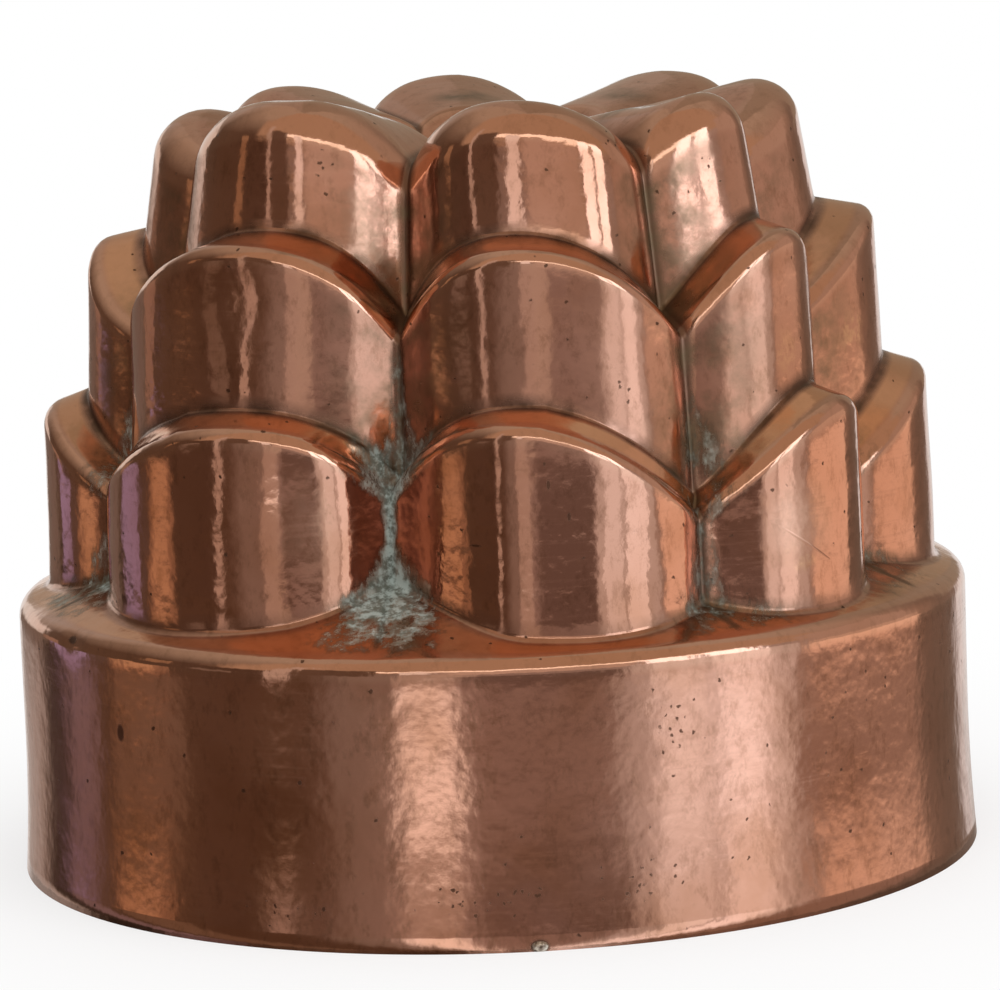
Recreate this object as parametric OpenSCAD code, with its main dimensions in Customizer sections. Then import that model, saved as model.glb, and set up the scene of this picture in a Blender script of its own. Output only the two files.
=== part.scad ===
// Copper jelly mould: a plain round band under a crown of three tiers of arched petals.
// It is one raised copper shell of even wall, open at its rim, and it stands on that rim.
// It was shaped by hand, so its petals differ in width and its notches in height.
// The origin is the middle of the rim plane, +Z runs up the axis, and one column of petals faces -Y.

/* [Band] */
// Outer radius at the rim
rim_r = 75; // [72:0.5:90]
// Outer radius of the band above its flare
band_r = 74.1; // [72:0.1:80]
// Height of the flare above the rim
flare_h = 22; // [6:1:34]
// Height at which the band and the shoulder would meet in a sharp corner
band_h = 42; // [38:0.1:60]
// Upward slope of the shoulder towards the petals, in degrees
shoulder_slope = 22; // [8:1:24]
// Radius of the rounded shoulder
shoulder_round = 2.9; // [1.5:0.1:4]

/* [Petals] */
// Width of each petal, from the front one round to the right, as parts of a full turn
petal_widths = [48, 29, 44, 53, 44, 40, 40, 62]; // [30:1:60]
// Lean of each petal's arches to the right, as a share of half the petal's width
arch_skews = [-0.24, 0.2, 0.22, -0.06, 0.06, 0.08, -0.3, 0.32]; // [-0.4:0.02:0.4]
// Lift of each petal's arches above their even height
arch_lifts = [0.8, 0, -0.1, 0, -0.2, -0.2, -2, 1.4]; // [-2:0.1:2]
// Lift of each lower notch above its even height, from the right of the front petal round
notch_lifts = [-1.8, -0.5, 0.2, 0.5, -0.3, 0.2, 0, 3.4]; // [-3.5:0.1:3.5]
// Turn of each lower crease against the upper one over it, in degrees, in the same order
lower_turns = [-4, 0.5, 0.5, 0, 0, 1.5, 5.5, 0]; // [-6:0.5:6]
// Turn of each middle crease against the upper one over it, in degrees, in the same order
middle_turns = [-1.5, -1.5, -0.5, 0, 0, 3, 0, 0.5]; // [-6:0.5:6]
// Radius of the creases between petals, as a share of the petals' own radius
crease_share = 0.884; // [0.86:0.002:0.92]
// How full the arches are: 2 is a parabola, and more is squarer
arch_power = 2.2; // [1.8:0.1:3.2]
// Rounding of the arched edges of the lower and middle tiers
edge_round = 3; // [1.4:0.1:3.6]
// Rounding at the foot of the middle and upper walls
foot_round = 0.8; // [0.3:0.1:1.4]

/* [Lower tier] */
// Width of the shoulder outside the petals' feet
shoulder_width = 4.6; // [3.5:0.1:7]
// Height of the petals above the shoulder
lower_h = 29.5; // [26:0.1:40]
// Even rise of the arches above the notches between them
lower_rise = 12.7; // [9:0.1:16]
// Lean of the wall, in degrees
lower_lean = 1.2; // [0:0.1:4]
// Rise of the ledge over the arches
lower_ledge = 2.3; // [1:0.1:5]
// Rise of the ledge in the creases
lower_gutter = 1.9; // [1:0.1:6]

/* [Middle tier] */
// How far the petals' feet stand back from those of the lower tier
middle_step = 7.3; // [6:0.1:10]
// Height of the petals above the ledge below
middle_h = 23; // [20:0.1:30]
// Rise of the arches above the notches between them
middle_rise = 13.5; // [9:0.1:15]
// Lean of the wall, in degrees
middle_lean = 2.6; // [0:0.1:5]
// Rise of the ledge over the arches
middle_ledge = 1.7; // [0.8:0.1:4]
// Rise of the ledge in the creases
middle_gutter = 2.4; // [2:0.1:6]

/* [Upper tier] */
// How far the petals' feet stand back from those of the middle tier
upper_step = 9.7; // [8:0.1:13]
// Height of the petals above the ledge below
upper_h = 19.5; // [16:0.1:26]
// Rise of the arches above the notches between them
upper_rise = 8.9; // [7:0.1:12]
// Lean of the wall, in degrees
upper_lean = 9.5; // [0:0.1:12]
// Rounding of the upper arches' outer edge
upper_round = 6; // [2:0.1:6.6]

/* [Well] */
// Radius of the well's mouth, over the inner ends of the petals
well_r = 24; // [21:0.2:28]
// Fall of the petals' backs from the outer arches to the well
well_fall = 5; // [0.5:0.1:6]
// Rise of the inner arches above the notches between them
well_rise = 3.4; // [0.5:0.1:6]
// Depth of the well below its mouth
well_depth = 12; // [8:0.5:22]
// Radius of the well's flat floor
floor_r = 11.5; // [8:0.5:15]

/* [Sheet] */
// Thickness of the copper
wall = 1.2; // [0.8:0.1:1.4]

/* [Hidden] */
$fn = 128;
copper = [0.66, 0.4, 0.32];
petals = len(petal_widths);
// Columns of one petal from crease to crease, as shares of half its width
columns = [-1, -0.92, -0.78, -0.6, -0.4, -0.2, 0, 0.2, 0.4, 0.6, 0.78, 0.92];
// Steps round each rounded edge, rounded foot, shoulder and flare
edge_steps = 3;
foot_steps = 2;
shoulder_steps = 4;
flare_steps = 6;
// How far the crown's walls run down inside the band, to join it
sink = 4;
// Depth below the rim that the hollow is cut to
cut = 1;
// Smallest radius that the inner side of a rounded edge keeps
least_round = 0.4;
// Shares of the arches' lean to one side that the middle and upper tiers have
skew_shares = [0.9, 0.7];
no_turns = [0];
// Extra thickness in height, as a share, where a level wall runs down beside a crease
steep = 0.6;

// Radius over the petals at the foot of each tier
lower_r = band_r - shoulder_width;
middle_r = lower_r - middle_step;
upper_r = middle_r - upper_step;

// Height of the shoulder's cone at a radius
function shoulder_z(r) = band_h + (band_r - r) * tan(shoulder_slope);

// Heights of the arches' tops and of the walls' feet, at the crests
lower_top = shoulder_z(lower_r) + lower_h;
middle_foot = lower_top + lower_ledge;
middle_top = middle_foot + middle_h;
upper_foot = middle_top + middle_ledge;
upper_top = upper_foot + upper_h;
well_top = upper_top - well_fall;
well_floor = well_top - well_depth;
crown_start = shoulder_z(lower_r) - sink;

// Sum of the first n values of a list
function sum_to(list, n) = n == 0 ? 0 : list[n - 1] + sum_to(list, n - 1);

// A value of a hand-work list, taken round again past its end
function by_hand(list, p) = list[(p + len(list)) % len(list)];

// Half the angle of petal p, and the angle of its middle from the front, on the tier whose
// creases have these turns
function half_of(p, turns) =
    180 * petal_widths[p] / sum_to(petal_widths, petals)
    + (by_hand(turns, p) - by_hand(turns, p - 1)) / 2;
function middle_of(p, turns) =
    360 * (sum_to(petal_widths, p) + (petal_widths[p] - petal_widths[0]) / 2)
    / sum_to(petal_widths, petals)
    + (by_hand(turns, p) + by_hand(turns, p - 1)) / 2;

// A petal in plan is an arc through two creases and a crest. It shrinks by the inset about its
// own centre, so that the wall between two insets is even.
function petal_r(crest, half, u, inset) =
    let (
        t = u * half,
        crease = crest * crease_share,
        reach = crest - crease * cos(half),
        arc = (pow(crease * sin(half), 2) + pow(reach, 2)) / (2 * reach),
        centre = crest - arc
    )
    centre * cos(t) + sqrt(pow(arc - inset, 2) - pow(centre * sin(t), 2));

// Fall of petal p's arch from the even top: least at its highest point, most at the creases
function arch_drop(rise, notched, skewed, p, u) =
    let (
        lift = by_hand(arch_lifts, p),
        notch = notched * by_hand(notch_lifts, u < 0 ? p - 1 : p),
        lean = u - skewed * by_hand(arch_skews, p) * (1 - u * u)
    )
    (rise + lift - notch) * pow(abs(lean), arch_power) - lift;

function unit(v) = v / norm(v);

// A rounded corner of a profile at b, as points from the side of a to the side of c
function rounded(a, b, c, radius, steps) =
    let (
        to_a = unit(a - b),
        to_c = unit(c - b),
        open = acos(to_a * to_c),
        reach = min(radius / tan(open / 2), 0.45 * norm(a - b), 0.45 * norm(c - b)),
        r = reach * tan(open / 2),
        middle = b + unit(to_a + to_c) * r / sin(open / 2),
        from = b + to_a * reach - middle,
        to = b + to_c * reach - middle,
        side = from.x * to.y - from.y * to.x < 0 ? -1 : 1
    )
    [
        for (i = [0 : steps])
            let (w = side * (180 - open) * i / steps)
            middle + [from.x * cos(w) - from.y * sin(w), from.x * sin(w) + from.y * cos(w)]
    ];

// Points of a profile, as [radius, height], turned to their place in column u of petal p
function placed(profile, p, u, turns) =
    let (turn = middle_of(p, turns) + u * half_of(p, turns))
    [for (q = profile) [q.x * sin(turn), -q.x * cos(turn), q.y]];

// One column of petal p, as points from inside the band up over the three tiers and down
// into the well
function crown_column(p, u, inset) =
    let (
        low = half_of(p, lower_turns),
        mid = half_of(p, middle_turns),
        high = half_of(p, no_turns),
        level = inset * (1 + steep * u * u),
        edge = max(edge_round - inset, least_round),
        top_edge = max(upper_round - inset, least_round),
        foot = foot_round + inset,
        lower_drop = arch_drop(lower_rise, 1, 1, p, u) + level,
        middle_drop = arch_drop(middle_rise, 0, skew_shares[0], p, u) + level,
        upper_drop = arch_drop(upper_rise, 0, skew_shares[1], p, u) + level,
        well_drop = arch_drop(well_rise, 0, 0, p, u) + level,
        z1 = lower_top - lower_drop,
        z2 = middle_foot - lower_drop + (lower_gutter - lower_ledge) * u * u,
        z3 = middle_top - middle_drop,
        z4 = upper_foot - middle_drop + (middle_gutter - middle_ledge) * u * u,
        z5 = upper_top - upper_drop,
        start = [petal_r(lower_r + sink * tan(lower_lean), low, u, inset), crown_start],
        lower_wall = z1 - shoulder_z(lower_r),
        lower_edge = [petal_r(lower_r - lower_wall * tan(lower_lean), low, u, inset), z1],
        middle_root = [petal_r(middle_r, mid, u, inset), z2],
        middle_edge = [petal_r(middle_r - (z3 - z2) * tan(middle_lean), mid, u, inset), z3],
        upper_root = [petal_r(upper_r, high, u, inset), z4],
        upper_edge = [petal_r(upper_r - (z5 - z4) * tan(upper_lean), high, u, inset), z5],
        well_edge = [petal_r(well_r, high, u, 0) + inset, well_top - well_drop],
        well_root = [floor_r + inset, well_floor - inset],
        well_middle = [0, well_floor - inset]
    )
    concat(
        placed([start], p, u, lower_turns),
        placed(rounded(start, lower_edge, middle_root, edge, edge_steps), p, u, lower_turns),
        placed(rounded(lower_edge, middle_root, middle_edge, foot, foot_steps), p, u, middle_turns),
        placed(rounded(middle_root, middle_edge, upper_root, edge, edge_steps), p, u, middle_turns),
        placed(rounded(middle_edge, upper_root, upper_edge, foot, foot_steps), p, u, no_turns),
        placed(rounded(upper_root, upper_edge, well_edge, top_edge, edge_steps), p, u, no_turns),
        placed(rounded(upper_edge, well_edge, well_root, edge, edge_steps), p, u, no_turns),
        placed(rounded(well_edge, well_root, well_middle, foot, foot_steps), p, u, no_turns)
    );

// The crown as a closed body, lofted through all its columns
module crown(inset) {
    n = len(columns);
    all = petals * n;
    rings = [for (p = [0 : petals - 1], u = columns) crown_column(p, u, inset)];
    rows = len(rings[0]);
    points = concat(
        [for (ring = rings) each ring],
        [[0, 0, crown_start], [0, 0, well_floor - inset]]
    );
    skin = [
        for (j = [0 : all - 1], k = [0 : rows - 2])
            let (a = j * rows + k, b = (j + 1) % all * rows + k)
            each (columns[j % n] < 0 ? [[a, a + 1, b], [b, a + 1, b + 1]]
                                     : [[a, b + 1, b], [a, a + 1, b + 1]])
    ];
    bottom = [for (j = [0 : all - 1]) [all * rows, j * rows, (j + 1) % all * rows]];
    top = [
        for (j = [0 : all - 1])
            [all * rows + 1, (j + 1) % all * rows + rows - 1, j * rows + rows - 1]
    ];
    polyhedron(points, concat(skin, bottom, top));
}

// The band and shoulder as a turned body, with a flare that starts without a kink
module band(inset) {
    side = [
        for (i = [0 : flare_steps])
            let (z = flare_h * i / flare_steps)
            [band_r - inset + (rim_r - band_r) * pow(1 - z / flare_h, 2), z]
    ];
    corner = [band_r - inset, band_h - inset * tan(45 - shoulder_slope / 2)];
    apex = [0, shoulder_z(0) - inset / cos(shoulder_slope)];
    below = inset > 0 ? [[0, -cut], [rim_r - inset, -cut]] : [[0, 0]];
    rotate_extrude()
        polygon(concat(
            below,
            side,
            rounded(
                side[flare_steps], corner, apex, max(shoulder_round - inset, least_round), shoulder_steps
            ),
            [apex]
        ));
}

// The one copper shell
module mould_shell() {
    color(copper)
    difference() {
        union() {
            band(0);
            crown(0);
        }
        union() {
            band(wall);
            crown(wall);
        }
    }
}

mould_shell();
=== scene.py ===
# An old copper jelly mould standing on its open rim: one raised shell, tinned inside,
# with worn edges, pits, dark oxide and verdigris in its creases.
import math

import bmesh
import bpy
from mathutils import Matrix, Vector, noise


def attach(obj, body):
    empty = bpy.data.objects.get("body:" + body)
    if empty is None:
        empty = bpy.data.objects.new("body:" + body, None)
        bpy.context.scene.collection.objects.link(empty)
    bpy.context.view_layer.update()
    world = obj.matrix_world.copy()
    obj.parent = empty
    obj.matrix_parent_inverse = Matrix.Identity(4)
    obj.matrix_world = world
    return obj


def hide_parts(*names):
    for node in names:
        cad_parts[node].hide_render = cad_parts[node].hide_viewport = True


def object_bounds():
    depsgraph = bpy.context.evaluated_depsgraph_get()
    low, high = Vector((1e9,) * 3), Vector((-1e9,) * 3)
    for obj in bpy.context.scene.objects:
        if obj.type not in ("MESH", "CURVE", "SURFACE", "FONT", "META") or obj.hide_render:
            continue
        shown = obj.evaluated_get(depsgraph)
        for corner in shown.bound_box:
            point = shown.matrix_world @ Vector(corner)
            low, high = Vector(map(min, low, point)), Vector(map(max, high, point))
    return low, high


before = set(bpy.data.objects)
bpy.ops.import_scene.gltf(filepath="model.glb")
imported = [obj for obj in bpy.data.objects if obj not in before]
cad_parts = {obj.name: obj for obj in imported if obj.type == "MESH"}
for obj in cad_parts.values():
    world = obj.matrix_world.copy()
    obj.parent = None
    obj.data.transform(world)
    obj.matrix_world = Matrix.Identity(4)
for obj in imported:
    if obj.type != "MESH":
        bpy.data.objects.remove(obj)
cad_low, cad_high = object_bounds()

MM = 0.001

# The mould's form, in mm
RIM_R = 75.0
BAND_R = 74.1
FLARE_H = 22.3
BAND_H = 42.0
SHOULDER_SLOPE = math.radians(22)
SHOULDER_ROUND = 2.9
WALL = 1.2
ARCH_POWER = 2.2
FOOT_ROUND = 0.8
BASE_ROUND = 1.3

# Width of each petal in degrees, from the front one round to the right
PETAL_WIDTHS = (47.9, 28.9, 44.2, 53.4, 44.0, 39.6, 40.2, 61.8)

# Lists run over the petals in the same order. A notch belongs to the crease at the right of
# its petal, and so does a turn, which shifts that crease by some degrees on one tier.
LOWER = dict(
    radius=69.5, share=0.881, top=73.4, rise=12.7, lean=math.radians(1.2), edge=2.3,
    ledge=2.3, gutter=1.9,
    lifts=(1.0, 0.2, 0.2, 0.0, 0.0, 0.0, -1.9, 0.7),
    notches=(-1.8, -0.5, 0.2, 0.5, -0.3, 0.2, 0.0, 3.5),
    skews=(-0.26, 0.25, 0.21, -0.06, 0.05, 0.1, -0.24, 0.33),
    turns=(-4.2, 0.7, 0.6, 0.0, 0.0, 1.6, 5.6, 0.0),
)
MIDDLE = dict(
    radius=62.2, share=0.888, top=98.7, rise=13.5, lean=math.radians(2.6), edge=2.3,
    ledge=1.7, gutter=2.4,
    lifts=(0.3, -0.2, -0.3, 0.4, 0.0, 0.1, -1.9, 1.3),
    notches=(-0.3, 0.0, 0.0, 0.0, 0.2, 0.4, -1.0, 1.2),
    skews=(-0.21, 0.14, 0.22, -0.13, 0.06, 0.1, -0.4, 0.28),
    turns=(-1.7, -1.8, -0.6, 0.0, 0.0, 3.0, -0.3, 0.7),
)
UPPER = dict(
    radius=52.5, share=0.885, top=119.9, rise=8.9, lean=math.radians(9.5), edge=6.0,
    lifts=(0.8, 0.0, -0.2, -0.5, -0.5, -0.6, -2.2, 1.7),
    notches=(0.5, 0.1, 0.5, -1.7, 3.0, -0.9, -0.1, -0.9),
    skews=(-0.16, 0.05, 0.34, 0.0, 0.14, -0.1, -0.5, 0.28),
    turns=(0.0, 0.0, 0.0, 0.0, 0.0, 0.0, 0.0, 0.0),
)
WELL = dict(radius=24.0, fall=5.0, rise=3.4, edge=2.6, depth=12.0, floor=11.5)

# The camera stands this far to the left of the front, behind the rim's centre and above it
CAMERA_TURN = math.radians(-10.23)
CAMERA_BACK = 733.14 * MM
CAMERA_UP = 164.72 * MM

# The crown was worked by hand and isn't true: seen from the camera, this many mm to the right
# of its axis, a tier lies this many mm too deep. Where that is less than 0, it stands forward.
LOWER_PRESSED = (
    (-57.0, 0.0), (-46.0, 0.5), (-36.0, 1.2), (-30.0, 1.6), (-27.0, 2.2), (-24.0, 3.2),
    (-22.0, 4.1), (-18.5, 6.2), (-14.5, 8.3), (-12.5, 7.9), (-7.0, 5.2), (-2.0, 2.4),
    (1.4, 0.8), (4.0, 0.2), (8.0, 0.0), (15.0, -0.8), (21.0, -1.4), (26.0, -2.2),
    (30.0, -2.6), (34.0, -2.4), (41.0, -2.0), (46.0, -1.2), (52.0, -0.5), (57.0, 0.0),
)
MIDDLE_PRESSED = (
    (-57.0, 0.0), (-46.0, 0.4), (-36.0, 0.8), (-28.0, 1.3), (-22.0, 2.1), (-18.5, 3.0),
    (-14.5, 4.4), (-12.0, 4.8), (-10.0, 4.2), (-7.0, 2.6), (-2.0, 1.0), (1.4, 0.2), (4.0, -0.3),
    (7.0, -1.0), (13.0, -2.3), (19.0, -3.8), (25.0, -5.3), (28.0, -5.8), (29.5, -5.8),
    (31.0, -5.5), (37.0, -3.9), (40.0, -3.4), (44.0, -3.0), (48.0, -2.2), (54.0, -0.8),
    (58.0, 0.0),
)
UPPER_PRESSED = (
    (-50.0, 0.0), (-36.0, 0.5), (-30.0, 0.8), (-26.0, 1.5), (-22.0, 2.3), (-18.0, 3.3),
    (-14.0, 4.4), (-11.0, 4.8), (-9.0, 4.0), (-6.0, 2.2), (-3.0, 1.1), (0.0, 0.5), (3.0, 0.1),
    (6.0, -0.5), (9.0, -1.2), (12.0, -2.1), (15.0, -3.1), (18.0, -4.2), (21.0, -5.2),
    (24.0, -5.9), (25.5, -6.0), (27.0, -5.4), (30.0, -4.1), (33.0, -3.1), (36.0, -2.6),
    (41.0, -2.4), (46.0, -1.2), (52.0, 0.0),
)

# How fine the skin is, how strongly its columns gather at the creases, and the most of a
# straight stretch that a rounded corner takes up
PETALS = len(PETAL_WIDTHS)
COLUMNS_PER_PETAL = 36
FLARE_ROWS = 9
CREASE_PULL = 0.55
CORNER_REACH = 0.45

# The rounding at the foot of the well, and the rings of its floor
FLOOR_ROUND = 1.6
FLOOR_RINGS = (9.0, 6.5, 4.0, 2.0, 0.8)

# What is worn, grown or bare at each point of the shell, and where its edges, ledges and band lie,
# kept on it for the copper's finish; the ledge mark carries a painted reflection
MARKS = ("verdigris", "haze", "crease", "foot", "edge", "ledge", "band")


def lean_in(steps):
    """Shares of a petal's half width from crease to crease, closer together at the creases."""
    shares = []
    for i in range(steps):
        s = 2 * i / steps - 1
        shares.append(CREASE_PULL * math.sin(math.pi * s / 2) + (1 - CREASE_PULL) * s)
    return shares


def crease_angle(petal, tier=None):
    """Angle of the crease at the right of a petal, from the front."""
    petal %= PETALS
    angle = sum(PETAL_WIDTHS[: petal + 1]) - PETAL_WIDTHS[0] / 2
    return math.radians(angle + (tier["turns"][petal] if tier else 0.0))


def petal_span(petal, tier=None):
    """Angles of the left and right crease of a petal."""
    right = crease_angle(petal, tier)
    left = crease_angle(petal - 1, tier)
    if left > right:
        left -= 2 * math.pi
    return left, right


def petal_r(crest, share, half, turn):
    """Radius of a petal in plan: an arc through two creases and a crest."""
    crease = crest * share
    reach = crest - crease * math.cos(half)
    arc = ((crease * math.sin(half)) ** 2 + reach ** 2) / (2 * reach)
    centre = crest - arc
    return centre * math.cos(turn) + math.sqrt(max(arc ** 2 - (centre * math.sin(turn)) ** 2, 0))


def arch_drop(tier, petal, u):
    """How far a petal's arch lies under the tier's even top."""
    lift = tier["lifts"][petal]
    notch = tier["notches"][petal - 1 if u < 0 else petal]
    lean = u - tier["skews"][petal] * (1 - u * u)
    return (tier["rise"] + lift - notch) * abs(lean) ** ARCH_POWER - lift


def cone_z(r):
    return BAND_H + (BAND_R - r) * math.tan(SHOULDER_SLOPE)


def rounded(a, b, c, radius, steps):
    """Points of a rounded corner at b, as (radius, height), from the side of a to that of c."""
    a, b, c = Vector(a), Vector(b), Vector(c)
    to_a, to_c = (a - b).normalized(), (c - b).normalized()
    half = to_a.angle(to_c) / 2
    room = CORNER_REACH * min((a - b).length, (c - b).length)
    reach = min(radius / math.tan(half), room)
    middle = b + (to_a + to_c).normalized() * (reach / math.cos(half))
    start, end = b + to_a * reach - middle, b + to_c * reach - middle
    sweep = math.pi - 2 * half
    side = 1 if start.x * end.y - start.y * end.x > 0 else -1
    out = []
    for i in range(steps + 1):
        w = side * sweep * i / steps
        out.append(Vector((
            middle.x + start.x * math.cos(w) - start.y * math.sin(w),
            middle.y + start.x * math.sin(w) + start.y * math.cos(w),
        )))
    return out


def column_profile(petal, u):
    """The outside of the mould in one column, from the rim up and down into the well.

    Gives (radius, height, angle, kind, share of the way along a straight stretch) for each row.
    """
    angles, radii = [], []
    for tier in (LOWER, MIDDLE, UPPER):
        left, right = petal_span(petal, tier)
        half, turn = (right - left) / 2, u * (right - left) / 2
        angles.append((left + right) / 2 + turn)
        radii.append(lambda r, s=tier["share"], h=half, t=turn: petal_r(r, s, h, t))
    low_r, mid_r, top_r = radii
    ease = u * u

    z1 = LOWER["top"] - arch_drop(LOWER, petal, u)
    z2 = z1 + LOWER["ledge"] + (LOWER["gutter"] - LOWER["ledge"]) * ease
    z3 = MIDDLE["top"] - arch_drop(MIDDLE, petal, u)
    z4 = z3 + MIDDLE["ledge"] + (MIDDLE["gutter"] - MIDDLE["ledge"]) * ease
    z5 = UPPER["top"] - arch_drop(UPPER, petal, u)
    z6 = UPPER["top"] + UPPER["lifts"][petal] * (1 - ease) - WELL["fall"]
    z6 -= WELL["rise"] * abs(u) ** ARCH_POWER
    floor_z = UPPER["top"] - WELL["fall"] - WELL["depth"]

    base_r = low_r(LOWER["radius"])
    base = (base_r, cone_z(base_r))
    rise = z1 - cone_z(LOWER["radius"])
    lower_edge = (low_r(LOWER["radius"] - rise * math.tan(LOWER["lean"])), z1)
    middle_root = (mid_r(MIDDLE["radius"]), z2)
    middle_edge = (mid_r(MIDDLE["radius"] - (z3 - z2) * math.tan(MIDDLE["lean"])), z3)
    upper_root = (top_r(UPPER["radius"]), z4)
    upper_edge = (top_r(UPPER["radius"] - (z5 - z4) * math.tan(UPPER["lean"])), z5)
    well_edge = (top_r(WELL["radius"]), z6)
    well_root = (WELL["floor"], floor_z)
    centre = (0.0, floor_z)
    band_top = (BAND_R, FLARE_H)
    shoulder = (BAND_R, BAND_H)

    rows = []
    for i in range(FLARE_ROWS):
        z = FLARE_H * i / FLARE_ROWS
        r = RIM_R + (BAND_R - RIM_R) * (1 - (1 - z / FLARE_H) ** 2)
        rows.append((r, z, angles[0], "band", 1.0))

    # Each corner: the points before, at and after it, its rounding, its faces, its tier and kind
    corners = [
        (band_top, shoulder, base, SHOULDER_ROUND, 7, 0, "shoulder"),
        (shoulder, base, lower_edge, BASE_ROUND, 4, 0, "foot0"),
        (base, lower_edge, middle_root, LOWER["edge"], 8, 0, "edge1"),
        (lower_edge, middle_root, middle_edge, FOOT_ROUND, 4, 1, "foot1"),
        (middle_root, middle_edge, upper_root, MIDDLE["edge"], 8, 1, "edge2"),
        (middle_edge, upper_root, upper_edge, FOOT_ROUND, 4, 2, "foot2"),
        (upper_root, upper_edge, well_edge, UPPER["edge"], 10, 2, "edge3"),
        (upper_edge, well_edge, well_root, WELL["edge"], 7, 2, "edge4"),
        (well_edge, well_root, centre, FLOOR_ROUND, 4, 2, "floor"),
    ]
    # Faces along the straight stretch that leads to each corner
    stretches = (9, 4, 12, 4, 11, 4, 9, 9, 7)
    last = (Vector(band_top), angles[0], "band")
    rows.append((*last[0], last[1], "band", 1.0))
    for (a, b, c, radius, steps, level, kind), stretch in zip(corners, stretches):
        arc = rounded(a, b, c, radius, steps)
        for i in range(1, stretch):
            w = i / stretch
            p = last[0].lerp(arc[0], w)
            angle = last[1] + (angles[level] - last[1]) * w
            rows.append((p.x, p.y, angle, last[2] + ">" + kind, w))
        for p in arc:
            rows.append((p.x, p.y, angles[level], kind, 1.0))
        last = (arc[-1], angles[level], kind)
    for r in FLOOR_RINGS:
        rows.append((r, floor_z, angles[2], "floor", 1.0))
    return rows


def smooth(value, low, high):
    w = min(max((value - low) / (high - low), 0.0), 1.0)
    return w * w * (3 - 2 * w)


# Where the pressing is taken to ease it, how near the camera's side it begins and is full, and
# how far from the axis it begins and is full in the well, in mm
EASED_OVER = (-1.5, -0.75, 0.0, 0.75, 1.5)
SIDE_BEGINS, SIDE_FULL = 5, 30
WELL_BEGINS, WELL_FULL = 12, 24


def pressed_in(table, right):
    """How far a tier is pressed in at a place to the right of the axis, eased over 3 mm."""
    total = 0.0
    for shift in EASED_OVER:
        at = right + shift
        for (near, depth), (far, next_depth) in zip(table, table[1:]):
            if near <= at < far:
                total += depth + (next_depth - depth) * (at - near) / (far - near)
    return total / len(EASED_OVER)


def press(x, y, z, kind, along):
    """The place of a point once its tier is pressed in, still on the shoulder at its foot."""
    if kind in ("band", "band>shoulder", "shoulder"):
        return x, y, z
    side, ahead = math.sin(CAMERA_TURN), math.cos(CAMERA_TURN)
    right, toward = x * ahead + y * side, x * side - y * ahead
    if kind in ("shoulder>foot0", "foot0", "foot0>edge1", "edge1"):
        depth = pressed_in(LOWER_PRESSED, right)
    elif kind in ("foot1", "foot1>edge2", "edge2"):
        depth = pressed_in(MIDDLE_PRESSED, right)
    else:
        depth = pressed_in(UPPER_PRESSED, right)
    if kind == "shoulder>foot0":
        depth *= along
    if kind == "edge1>foot1":
        depth = pressed_in(LOWER_PRESSED, right) * (1 - along)
        depth += pressed_in(MIDDLE_PRESSED, right) * along
    if kind == "edge2>foot2":
        depth = pressed_in(MIDDLE_PRESSED, right) * (1 - along) + depth * along
    depth *= smooth(toward, SIDE_BEGINS, SIDE_FULL)
    if kind in ("edge4", "edge4>floor", "floor"):
        depth *= smooth(math.hypot(x, y), WELL_BEGINS, WELL_FULL)
    new_x, new_y = x - side * depth, y + ahead * depth
    on_cone = cone_z(math.hypot(new_x, new_y)) - cone_z(math.hypot(x, y))
    in_line = -depth * (CAMERA_UP / MM - z) / (CAMERA_BACK / MM - toward)
    if kind in ("shoulder>foot0", "foot0"):
        return new_x, new_y, z + on_cone
    if kind == "foot0>edge1":
        return new_x, new_y, z + on_cone * (1 - along) + in_line * along
    return new_x, new_y, z + in_line


# Dents that the photo shows: angle from the front, radius, height, spread and depth in mm
DENTS = (
    (-47.2, 61.0, 91.8, 4.5, 0.45),
    (33.2, 40.6, 117.4, 4.5, 0.8),
    (-36.0, 66.0, 60.0, 9.0, 0.35),
    (14.0, 60.0, 84.0, 8.0, 0.35),
    (-69.0, 73.8, 41.3, 1.8, 0.4),
    (21.0, 60.0, 66.0, 7.0, -0.3),
)

# The hammer's waves: how many to the metre across and up, and their height in mm. They are
# calm on the band, and full from just above the shoulder's edge.
WIDE_ACROSS, WIDE_UP, WIDE_HEIGHT = 75, 45, 0.2
TIGHT_ACROSS, TIGHT_UP, TIGHT_HEIGHT = 190, 120, 0.075
BAND_CALM = 0.22
CROWN_BEGINS, CROWN_FULL = BAND_H - 4, BAND_H + 6


def on_wall(angle, radius, height):
    """A point of the mould in metres, from its angle in degrees from the front and mm."""
    turn = math.radians(angle)
    return Vector((radius * math.sin(turn), -radius * math.cos(turn), height)) * MM


def hand_work(point, height):
    """Slight waves left by the hammer and the dents, in mm along the outside normal."""
    wide = Vector((point.x * WIDE_ACROSS, point.y * WIDE_ACROSS, point.z * WIDE_UP))
    tight = Vector((point.x * TIGHT_ACROSS, point.y * TIGHT_ACROSS, point.z * TIGHT_UP))
    tight += Vector((3, 1, 7))
    wave = WIDE_HEIGHT * noise.noise(wide) + TIGHT_HEIGHT * noise.noise(tight)
    quiet = BAND_CALM + (1 - BAND_CALM) * smooth(height, CROWN_BEGINS, CROWN_FULL)
    dented = 0.0
    for angle, radius, at, spread, depth in DENTS:
        far = (point - on_wall(angle, radius, at)).length / (spread * MM)
        dented += depth * math.exp(-far * far)
    return wave * quiet - dented


# How much verdigris grows in the crease at the right of each petal, from the front one round
VERDIGRIS = (0.42, 0.3, 0.35, 0.4, 0.35, 0.4, 0.6, 1.0)

# How far the grey haze and the dark of a crease reach from it, in mm
HAZE_WIDTH = 9
CREASE_WIDTH = 0.9


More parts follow.
